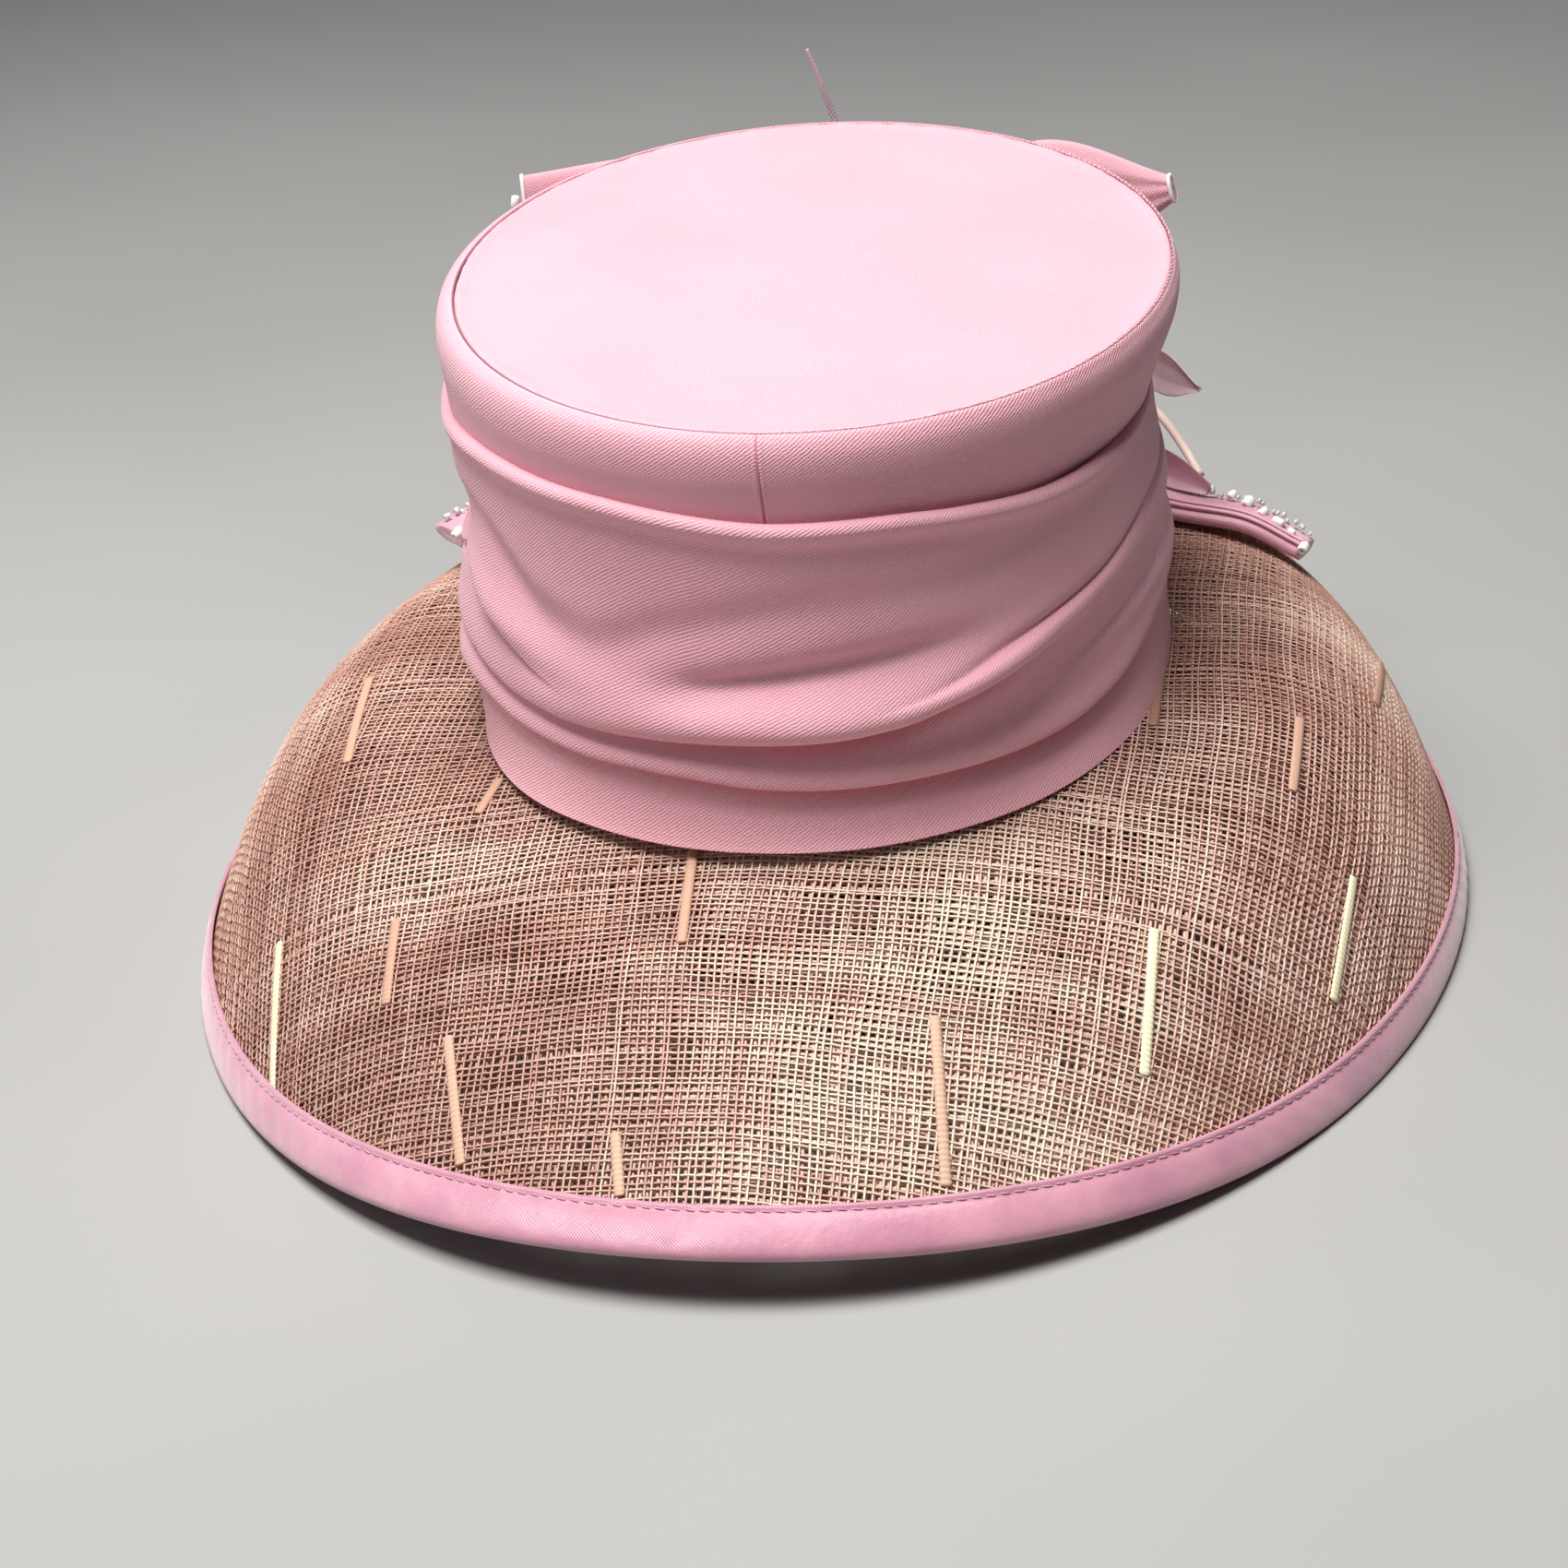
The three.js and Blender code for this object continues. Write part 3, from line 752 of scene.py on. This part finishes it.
def measure_brim():
    """For the angles round the brim: the opening's direction and radius, the straw's run to the rim, and the
    reach at each part of that run."""
    points = brim_middle(BRIM_ANGLES[:, None], BRIM_PARTS)
    run = distances(points, axis=1)
    direction = np.unwrap(np.arctan2(points[:, 0, 1], points[:, 0, 0]))
    radius = np.hypot(points[:, 0, 0], points[:, 0, 1])
    reach = np.array([np.interp(BRIM_PARTS * line[-1], line, BRIM_PARTS) for line in run])
    return direction, radius, run[:, -1], reach


BRIM_DIRECTION, BRIM_RADIUS, BRIM_RUN, BRIM_REACH = measure_brim()


def laid_on_brim(across, along):
    """The angle and reach on the brim of places on the flat straw cloth, and whether they lie on it."""
    direction = np.arctan2(along, across)
    direction = BRIM_DIRECTION[0] + (direction - BRIM_DIRECTION[0]) % FULL_TURN
    angle = np.interp(direction, BRIM_DIRECTION, BRIM_ANGLES)
    radius = np.interp(angle, BRIM_ANGLES, BRIM_RADIUS)
    part = (np.hypot(across, along) - radius) / np.interp(angle, BRIM_ANGLES, BRIM_RUN)
    valid = (part > STRAW_START) & (part < STRAW_END)
    column = angle / BRIM_ANGLES[1]
    row = np.clip(part, 0, 1) * (len(BRIM_PARTS) - 1)
    first_column = np.minimum(column.astype(int), len(BRIM_ANGLES) - 2)
    first_row = np.minimum(row.astype(int), len(BRIM_PARTS) - 2)
    column_part, row_part = column - first_column, row - first_row
    low, high = (
        mix(BRIM_REACH[beside, first_row], BRIM_REACH[beside, first_row + 1], row_part)
        for beside in (first_column, first_column + 1)
    )
    return angle, mix(low, high, column_part) + np.clip(part, -STRAW_TUCK, 0), valid


def cloth_waves(across, along):
    """The cloth's threads don't run quite straight."""
    return (
        1.6 * np.sin(along / 43 + 0.7) * np.cos(across / 57)
        + 0.5 * np.sin(along / 17 + across / 29)
        + 0.3 * np.sin(along / 8 - across / 13 + 2)
    )


def straw_threads(layer, way, material):
    """All threads of one layer that run one way, each a three-sided tube over and under the others."""
    size = LAYERS[layer]
    is_warp = way == "warp"
    pitch, other_pitch = (size["warp"], size["weft"]) if is_warp else (size["weft"], size["warp"])
    count, other_count = int(STRAW_HALF_SIZE / pitch), int(STRAW_HALF_SIZE / other_pitch)
    line, cross = np.meshgrid(
        np.arange(-count, count + 1), np.arange(-other_count, other_count + 1, size["step"]), indexing="ij",
    )
    own = chance.uniform(0, 1, len(line))
    wobble = chance.normal(0, 0.24, len(line))[:, None]
    phase = chance.uniform(0, 6.3, len(line))[:, None]
    side = line * pitch + size["shift"] + wobble + 0.18 * np.sin(cross / 6 + phase)
    length = cross * other_pitch + size["shift"]
    across, along = (side, length) if is_warp else (length, side)
    turn = np.radians(size["turn"])
    across, along = (
        across * np.cos(turn) - along * np.sin(turn) + cloth_waves(across, along),
        across * np.sin(turn) + along * np.cos(turn) + cloth_waves(along + 31, across),
    )
    angle, reach, valid = laid_on_brim(across, along)
    over = np.where((line + cross // size["step"]) % 2 == 0, 1, -1) * (1 if is_warp else -1)
    middle = brim_point(angle, reach, size["offset"] + WEAVE_RISE * over)
    normal = brim_normal(angle, reach)
    tangent = unit(np.gradient(middle, axis=1))
    sideways = unit(np.cross(tangent, normal))
    corners = np.radians([90, 210, 330])
    ring = (
        middle[:, :, None]
        + sideways[:, :, None] * size["half_width"] * np.cos(corners)[:, None]
        + normal[:, :, None] * THREAD_HALF_HEIGHT * np.sin(corners)[:, None]
    )
    number = np.cumsum(valid.ravel()).reshape(valid.shape) - 1
    linked = valid[:, :-1] & valid[:, 1:]
    start, end = number[:, :-1][linked] * 3, number[:, 1:][linked] * 3
    faces = np.concatenate([
        np.stack([start + corner, start + (corner + 1) % 3, end + (corner + 1) % 3, end + corner], axis=-1)
        for corner in range(3)
    ])
    uv = np.stack([np.broadcast_to(own[:, None], valid.shape), length], axis=-1)[valid].repeat(3, axis=0)
    points = ring[valid].reshape(-1, 3)
    piece = add_piece(f"straw_{way}_{layer}", points, faces, uv[faces], material, "straw")
    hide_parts("brim")


def straw_bars():
    """Thick wrapped bars that lie along the warp."""
    parts = []
    for warp_start, start, warp_end, end, tone in BAR_ROWS:
        along = np.linspace(start, end, int(abs(end - start) / BAR_STEP))
        across = np.linspace(warp_start, warp_end, len(along))
        angle, reach, _ = laid_on_brim(across, along)
        ribs = 1 - 0.35 * np.cos(np.pi * along / BAR_RIB) ** 4
        ends = np.minimum(1, 0.6 + np.minimum(np.arange(len(along)), np.arange(len(along))[::-1]) / 3)
        line = brim_point(angle, reach, BAR_LIFT)[None]
        normal = brim_normal(angle, reach)[None]
        parts.append(tubes(
            line, normal, (BAR_HALF_WIDTH * mix(ribs, 1, 0.6) * ends)[None],
            (BAR_HALF_HEIGHT * ribs * ends)[None], 8, tone,
        ))
    add_piece("straw_bars", *join(parts), BAR_STRAW, "straw")


# The binding

def binding_point(angle, run, out):
    """A point beside the straw's edge: run is the distance past it, and the lowest lie on the surface."""
    slant = np.linalg.norm(brim_slant(angle, 1.0), axis=-1)
    point = brim_point(angle, 1 + run / slant, out)
    point[..., 2] = np.maximum(point[..., 2], 0)
    return point


def rim_lengths(angle):
    """Millimetres along the rim up to each angle."""
    return distances(rim_point(np.append(angle, FULL_TURN)))


def binding():
    angle = ring_angles(BINDING_STEPS)
    width = BINDING_WIDTH
    outline = rounded(np.array([
        (-width, 1.25), (-width - 0.1, 2.0), (-width + 0.8, 2.5), (-width + 1.8, 1.85), (-width + 3, 2.2),
        (-width / 2, 2.5), (-1, 2.3), (1.2, 1.6), (2.0, 0.5), (2.0, -0.5), (1.2, -1.6), (-1, -2.2),
        (-width / 2, -2.3), (-width + 1, -2.1), (-width, -1.9), (-width, -1.25), (-width / 2, -1.15),
        (0.1, -1.1), (0.3, 0), (0.1, 1.1), (-width / 2, 1.15),
    ]), 1, closed=True)
    length = rim_lengths(angle)
    around = length[:-1]
    run, out = outline[:, :1], outline[:, 1:]
    shown = np.clip(out - 1.3, 0, 1)
    patches = 0.5 + 0.5 * np.sin(5 * angle + 0.6) * np.sin(3 * angle + 2.2)
    ripple = np.sin(FULL_TURN * (around - 1.1 * run) / 9) + 0.6 * np.sin(FULL_TURN * (around - run) / 5.3)
    join_line = length[int(BINDING_JOIN_ANGLE / 360 * BINDING_STEPS)] - 0.3 * run
    join_dip = 0.6 * np.exp(-((around - join_line) / 0.7) ** 2)
    out = out + shown * (0.14 * patches * ripple - join_dip)
    points = binding_point(angle, run + 0 * angle, out)
    v = distances(outline)
    v = np.append(v, v[-1] + 1)
    piece = add_piece("satin_binding", *grid(points, length, v, wrap_rows=True), SATIN, "satin")
    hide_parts("brim_binding")


def binding_stitches():
    ring = ring_angles(BINDING_STEPS)
    length = rim_lengths(ring)
    count = int(length[-1] / (BINDING_STITCH + BINDING_STITCH_GAP))
    start = np.arange(count) * length[-1] / count
    step = np.linspace(0, 1, 5)
    angle = np.interp(start[:, None] + BINDING_STITCH * step, length, np.append(ring, FULL_TURN))
    run = -BINDING_WIDTH + 1.7 + 0.25 * (step - 0.5)
    lines = binding_point(angle, run + 0 * angle, 2.0 + 0.25 * np.sin(np.pi * step) + 0 * angle)
    normals = brim_normal(angle, 1 + 0 * angle)
    tone = chance.uniform(0.3, 0.65, count)
    add_piece("binding_stitches", *tubes(lines, normals, 0.13, 0.12, 5, tone), SEWING_THREAD, "satin")


# The bow and its trims

# Places along each piece. Columns: x, y, z, width, thickness
STRIPS = {
    "bow_loop_left": [
        (-13, 115, 134, 14, 4), (-22, 117, 135, 22, 5), (-56, 116, 150, 42, 7), (-97, 107, 149, 38, 5),
    ],
    "bow_loop_right": [
        (13, 115, 134, 14, 4), (22, 117, 135, 22, 5), (52, 116, 152, 41, 7), (88.5, 108, 160.5, 7, 4),
    ],
    "bow_tail_left": [
        (-12.8, 114, 107, 6, 4), (-58, 113, 87, 22, 5), (-96, 82, 80, 24, 5.5), (-116, 62, 75, 20, 5),
    ],
    "bow_tail_right": [
        (12.8, 114, 107, 6, 4), (56, 114, 84, 22, 5), (89, 83.5, 76.3, 16, 5.5), (109, 76.5, 74.8, 14, 5.5),
        (126, 69.5, 68, 10, 5),
    ],
    "petal": [
        (12.4, 115, 122, 4, 1.2), (60, 114, 119, 10, 1.2), (86, 90, 113.5, 13, 1.2), (97, 73, 114, 2, 1),
    ],
    "leaf": [
        (12.7, 115, 113, 3, 2), (58, 112, 98, 11, 2), (86, 89, 86.5, 11, 2), (99, 84, 81, 4, 1.6),
    ],
    "stem": [
        (12.4, 115.5, 117.3, 2.5, 2.5), (58, 119, 110, 2.5, 2.5), (84, 108, 94, 2.5, 2.5),
        (91, 103, 86, 2.5, 2.5), (96, 96, 80, 2.5, 2.5),
    ],
    "quill": [
        (-3, 117, 144.6, 2.4, 1.4), (-5, 118.5, 160, 2.4, 1.4), (-7.5, 118.5, 178, 2.2, 1.3),
        (-10.5, 118.2, 189, 1.7, 1), (-14, 118, 199.5, 0.6, 0.5),
    ],
}
# The width of these lies level, and that of the others stands upright
LEVEL_STRIPS = ("bow_tail_left", "bow_tail_right", "quill")


def ribbon(name, at):
    """Middle, directions across and through, width and thickness of a strip at parts of its path."""
    *places, widths, thicknesses = np.array(STRIPS[name], float).T
    steps = np.sqrt(np.linalg.norm(np.diff(places, axis=1), axis=0))
    run = np.append(0, np.cumsum(steps))
    knots = run / run[-1]
    fine = np.linspace(0, 1, 400)
    path = np.stack([smooth_line(knots, values, fine) for values in places], axis=-1)
    middle, along = (
        np.stack([np.interp(at, fine, values) for values in curve.T], axis=-1)
        for curve in (path, unit(np.gradient(path, axis=0)))
    )
    along = unit(along)
    level = unit(np.cross(UP, along))
    across = level if name in LEVEL_STRIPS else np.cross(along, level)
    width = smooth_line(knots, widths, at)
    thickness = smooth_line(knots, thicknesses, at)
    return middle, across, np.cross(along, across), width, thickness


def loft(name, sides, shape, steps=56):
    """Points, faces and UVs of a closed strip. shape gives the place across (from -1 to 1) and through (in
    millimetres) of each corner of its sections."""
    at = np.concatenate([[0, 0], np.linspace(0, 1, steps), [1, 1]])
    size = np.concatenate([[0, 0.8], np.ones(steps), [0.8, 0]])[:, None, None]
    middle, across, through, width, thickness = ribbon(name, at)
    side, depth = shape(at[:, None], ring_angles(sides), thickness[:, None])
    offset = across[:, None] * (side * width[:, None] / 2)[..., None] + through[:, None] * depth[..., None]
    points = middle[:, None] + offset * size
    around = np.arange(sides + 1) / sides * 2 * width.max()
    return grid(points, around, distances(middle))


def soft_oval(turn, power=0.8):
    """Places across and through an oval, which is the squarer the lower its power."""
    return tuple(np.sign(wave) * np.abs(wave) ** power for wave in (np.cos(turn), np.sin(turn)))


def gathered(count, depth):
    """A padded strip with gathers that run out from the knot."""
    def shape(at, turn, thickness):
        side, bulge = soft_oval(turn)
        waves = depth * np.exp(-2.2 * at) * np.cos(np.pi * count * side)
        return side + 0 * at, bulge * thickness / 2 + waves * (1 - np.abs(side) ** 4)
    return shape


def blade(at, turn, thickness):
    """A thin blade with a raised vein along its middle."""
    side, bulge = soft_oval(turn)
    vein = 0.25 * np.exp(-(side / 0.12) ** 2) * np.sign(bulge)
    return side + 0 * at, (0.3 * bulge + vein) * thickness + 0.9 * side ** 2 * thickness


def round_cord(at, turn, thickness):
    return np.cos(turn) + 0 * at, np.sin(turn) * thickness / 2


def edge_lines(name, start, end, side, lift, steps=70):
    """A line along a strip at a share of its half width, lifted off its middle, with its normals."""
    middle, across, through, width, _ = ribbon(name, np.linspace(start, end, steps))
    line = middle + across * (side * width / 2)[:, None] + through * lift
    return line[None], through[None]


def bow_strips():
    for end, flat, material, gathers in (
        ("loop", (0.038, 0.09), CREPE, gathered(3, 1.4)),
        ("tail", (0.025, 0.125), SATIN_CREPE, gathered(2, 0.8)),
    ):
        for side in ("left", "right"):
            name = f"bow_{end}_{side}"
            piece = add_piece(name + "_cloth", *loft(name, 64, gathers), material, "crepe", weld=True)
            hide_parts(name)


KNOT = {"y": 113.7, "z": 122, "half_width": 11.6, "half_depth": 4.4, "half_height": 21.6, "pleats": 4.5}


def bow_knot():
    """The band round the bow's middle, with pleats that run over it."""
    sides, rows = 96, 40
    height = np.linspace(-1, 1, rows)[:, None]
    tuck = (1 - np.abs(height) ** 8) ** 0.25
    side, depth = soft_oval(ring_angles(sides), 0.6)
    pleats = 0.45 * np.cos(FULL_TURN * KNOT["pleats"] * side) * (depth > 0) * np.abs(depth) ** 2
    x = KNOT["half_width"] * side * mix(0.86, 1, tuck)
    y = KNOT["y"] + (KNOT["half_depth"] * depth + pleats) * mix(0.3, 1, tuck) + 0 * x
    z = KNOT["z"] + KNOT["half_height"] * height + 0 * x
    points = np.stack([x, y, z], axis=-1)
    lids = points[[0, -1]].mean(axis=1, keepdims=True).repeat(sides, axis=1)
    points = np.concatenate([lids[:1], points, lids[1:]])
    u = np.arange(sides + 1) * 0.7
    v = np.concatenate([[0], np.linspace(0, 44, rows), [44]])
    piece = add_piece("bow_knot_band", *grid(points, u, v), CREPE, "crepe", weld=True)
    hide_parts("bow_knot")


def bow_piping():
    """Pale cord round the ends of the loops, and the layered edges of the tails."""
    parts = []
    for name in ("bow_loop_left", "bow_loop_right"):
        middle, across, through, width, thickness = ribbon(name, np.array([0.995]))
        side, bulge = soft_oval(np.linspace(0, FULL_TURN, 80))
        line = middle + across * (side * width / 2)[:, None] + through * (bulge * thickness / 2)[:, None]
        outward = unit(line - middle)
        parts.append(tubes(line[None], outward[None], 0.6, 0.6, 8, 0.95))
    add_piece("loop_piping", *join(parts), PIPING, "satin")
    parts = []
    for name, near in (("bow_tail_left", 1), ("bow_tail_right", -1)):
        for side, lift, size in ((0.8, 2.9, 0.55), (0.62, 3.7, 0.5)):
            line, normal = edge_lines(name, 0.3, 0.995, near * side, lift)
            parts.append(tubes(line, normal, 0.9 * size, size, 8, 0.4))
    add_piece("tail_edges", *join(parts), PIPING, "satin")


def plain_trims():
    for name, shape, material, slot in (
        ("petal", blade, FEATHER, "feather"),
        ("leaf", blade, MAUVE_SATIN, "crepe"),
        ("stem", round_cord, ROULEAU, "rouleau"),
        ("quill", blade, QUILL, "feather"),
    ):
        piece = add_piece(name + "_trim", *loft(name, 32, shape), material, slot, weld=True)
        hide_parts(name)


# White beads. Columns: place, length, radius, direction
WHITE_BEADS = [
    ((99.3, 85.2, 80), 2.2, 1, (0.3, 0.9, 0.3)),
    ((105.3, 82.7, 79.2), 2.8, 1.2, (0.5, 0.8, 0.3)),
    ((109.8, 79.5, 78.2), 3.6, 1.6, (0.5, 0.8, 0.3)),
    ((114, 75.5, 76.8), 2.8, 1.3, (0.6, 0.7, 0.3)),
    ((118.4, 72.2, 75.2), 3.4, 1.3, (0.8, -0.5, -0.3)),
    ((121.9, 69.7, 73.2), 2.2, 1.1, (0.8, -0.4, -0.4)),
    ((125.3, 65.5, 70.2), 3.2, 1.5, (0.3, 0.9, 0.3)),
    ((-109, 61.5, 82), 3.6, 1.3, (0.5, 0.8, 0.4)),
    ((-112.6, 56, 78.6), 3.6, 1.4, (0.5, 0.8, 0.4)),
    ((-99.6, 107, 160.6), 3.2, 1.2, (0.2, 0.1, 1)),
    ((-92, 84, 84.5), 3, 1.3, (0.5, 0.8, 0.2)),
    ((84, 96, 82.5), 3, 1.3, (0.5, 0.8, 0.2)),
]


def beads(name, rows, material, slot):
    """Short tubes with rounded ends and a hole."""
    sides = 14
    turn = ring_angles(sides)
    profile = [(0.35, -0.5), (0.8, -0.5), (1.0, -0.38), (1.0, 0.38), (0.8, 0.5), (0.35, 0.5)]
    parts = []
    for place, length, radius, along in rows:
        axis = unit(np.array(along))
        first = unit(np.cross(axis, [0.3, 0.2, 0.93]))
        second = np.cross(axis, first)
        out, run = np.array(profile).T[..., None, None] * np.array([radius, length])[:, None, None, None]
        ring = np.cos(turn)[:, None] * first + np.sin(turn)[:, None] * second
        points = out * ring + run * axis + place
        parts.append(grid(points, np.full(sides + 1, 0.5), np.arange(7.0), wrap_rows=True))
    add_piece(name, *join(parts), material, slot)


def clear_beads():
    """Tiny clear seed beads between the white ones, along the tails."""
    rows = []
    for name, far in (("bow_tail_left", -1), ("bow_tail_right", 1)):
        line, _ = edge_lines(name, 0.35, 0.98, far * 0.6, 3.6, steps=40)
        for point, direction in zip(line[0], unit(np.gradient(line[0], axis=0))):
            place = point + chance.normal(0, 0.4, 3)
            size = chance.uniform(0.65, 0.95)
            rows.append((place, 1.2 * size, size, direction))
    beads("clear_beads", rows, GLASS, "satin")


# Stage, light and camera

def floor():
    material, tree, shader, place = new_material("pale_floor", 0.8)
    clouding = noise(tree, place["Object"], 3.0)
    coloured(tree, shader, clouding, [(0.3, 0.34, 0.34, 0.34), (0.7, 0.38, 0.38, 0.38)])
    bpy.ops.mesh.primitive_plane_add(size=8)
    plane = bpy.context.object
    plane.name = "floor"
    plane.data.materials.append(material)


WHITE = (1, 1, 1)
WARM_WHITE = (1, 0.985, 0.95)


def area_light(name, place, aim, size, power, colour):
    light = bpy.data.lights.new(name, "AREA")
    light.size = size
    light.energy = power
    light.color = colour
    lamp = bpy.data.objects.new(name, light)
    lamp.location = place
    lamp.rotation_euler = (Vector(aim) - Vector(place)).to_track_quat("-Z", "Y").to_euler()
    bpy.context.scene.collection.objects.link(lamp)


def lights():
    area_light("overhead", (-0.16, -0.24, 1.45), (0, 0, 0.1), 0.8, 38, WARM_WHITE)
    area_light("back_window", (-1.1, -0.55, 0.4), (0, 0, 0.08), 0.6, 1.4, WHITE)
    area_light("left_window", (-1.1, 0.5, 0.3), (-0.1, -0.1, 0.02), 0.8, 1.6, WHITE)
    world = bpy.data.worlds.new("studio")
    world.use_nodes = True
    background = world.node_tree.nodes["Background"]
    background.inputs["Color"].default_value = (0.95, 0.97, 1.0, 1)
    background.inputs["Strength"].default_value = 0.05
    bpy.context.scene.world = world


CAMERA_VIEW = {"fov": 28, "azimuth": 10.92, "elevation": 25.72, "roll": -4.04, "distance": 0.8524}
CAMERA_TARGET = (-0.01242, 0, 0.0276)


def camera():
    data = bpy.data.cameras.new("camera")
    data.angle = math.radians(CAMERA_VIEW["fov"])
    turn = Matrix.Translation(CAMERA_TARGET)
    tilt = 90 - CAMERA_VIEW["elevation"]
    for degrees, axis in ((CAMERA_VIEW["azimuth"], "Z"), (tilt, "X"), (CAMERA_VIEW["roll"], "Z")):
        turn = turn @ Matrix.Rotation(math.radians(degrees), 4, axis)
    made = bpy.data.objects.new("camera", data)
    made.matrix_world = turn @ Matrix.Translation((0, 0, CAMERA_VIEW["distance"]))
    bpy.context.scene.collection.objects.link(made)
    bpy.context.scene.camera = made


camera()
floor()
lights()
bpy.context.scene.view_settings.view_transform = "Standard"

crown_side()
crown_tip()
seam_shadow_and_stitches()
swathe()
for layer, material in (("upper", STRAW_UPPER), ("lower", STRAW_LOWER)):
    for way in ("warp", "weft"):
        straw_threads(layer, way, material)
straw_bars()
binding()
binding_stitches()
bow_strips()
bow_knot()
bow_piping()
plain_trims()
beads("white_beads", WHITE_BEADS, WHITE_BEAD, "satin")
clear_beads()
